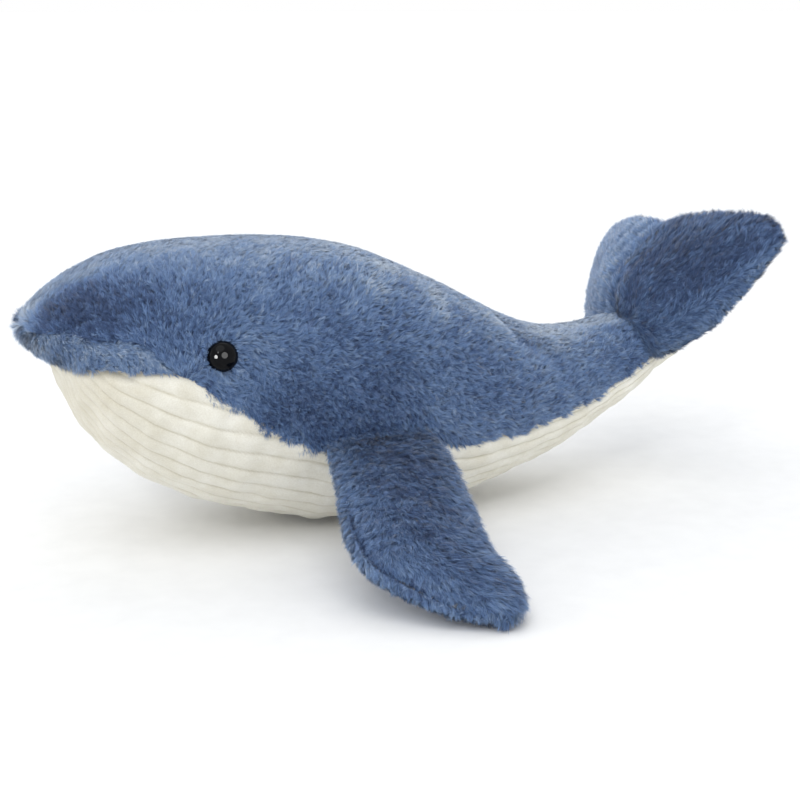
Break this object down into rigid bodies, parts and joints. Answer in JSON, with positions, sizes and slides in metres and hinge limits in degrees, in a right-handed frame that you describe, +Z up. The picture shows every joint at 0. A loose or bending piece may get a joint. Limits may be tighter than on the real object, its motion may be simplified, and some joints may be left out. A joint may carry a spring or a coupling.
{
  "type": "plush toy whale",
  "caption": "Stuffed plush whale lying on its belly, with blue pile back, ribbed white belly, safety eyes, flapping flippers, a bending tail stock and a tilting fluke.",
  "frame": {"origin": "on the floor, under the middle of the toy's box", "axes": "+X from the snout to the tail, +Y to the toy's right, +Z up"},
  "size_m": [0.437, 0.4224, 0.1701],
  "materials": {
    "blue_plush": "deep pile faux fur, matt with a soft sheen",
    "white_plush": "short pile plush with wide sewn ribs",
    "fibre_filling": "loose polyester fibre",
    "black_eye": "polished",
    "washer_plastic": "moulded"
  },
  "bodies": {
    "torso": {"torso_filling": "fibre_filling", "belly_panel": "white_plush", "left_side_panel": "blue_plush", "right_side_panel": "blue_plush", "lip_band": "blue_plush", "left_eye": "black_eye", "right_eye": "black_eye", "left_eye_washer": "washer_plastic", "right_eye_washer": "washer_plastic"},
    "tail_stock": {"tail_filling": "fibre_filling", "left_tail_panel": "blue_plush", "right_tail_panel": "blue_plush", "tail_belly_panel": "white_plush"},
    "fluke": {"fluke_filling": "fibre_filling", "fluke_upper_panel": "blue_plush", "fluke_lower_panel": "blue_plush"},
    "left_flipper": {"left_flipper_filling": "fibre_filling", "left_flipper_upper_panel": "blue_plush", "left_flipper_lower_panel": "blue_plush"},
    "right_flipper": {"right_flipper_filling": "fibre_filling", "right_flipper_upper_panel": "blue_plush", "right_flipper_lower_panel": "blue_plush"}
  },
  "joints": [
    {"name": "tail_bend", "type": "hinge", "parent": "torso", "child": "tail_stock", "pos_m": [0.05885, 0, 0.06334], "axis": [0, -1, 0], "range_deg": [-15, 22], "stiffness_Nm_per_rad": 3},
    {"name": "fluke_tilt", "type": "hinge", "parent": "tail_stock", "child": "fluke", "pos_m": [0.16238, 0, 0.08501], "axis": [0, -1, 0], "range_deg": [-15, 15], "stiffness_Nm_per_rad": 0.8},
    {"name": "left_flipper_flap", "type": "hinge", "parent": "torso", "child": "left_flipper", "pos_m": [-0.03364, -0.08209, 0.05913], "axis": [-1, 0, 0], "range_deg": [0, 45], "stiffness_Nm_per_rad": 0.5},
    {"name": "right_flipper_flap", "type": "hinge", "parent": "torso", "child": "right_flipper", "pos_m": [-0.03364, 0.08209, 0.05913], "axis": [1, 0, 0], "range_deg": [0, 45], "stiffness_Nm_per_rad": 0.5}
  ]
}
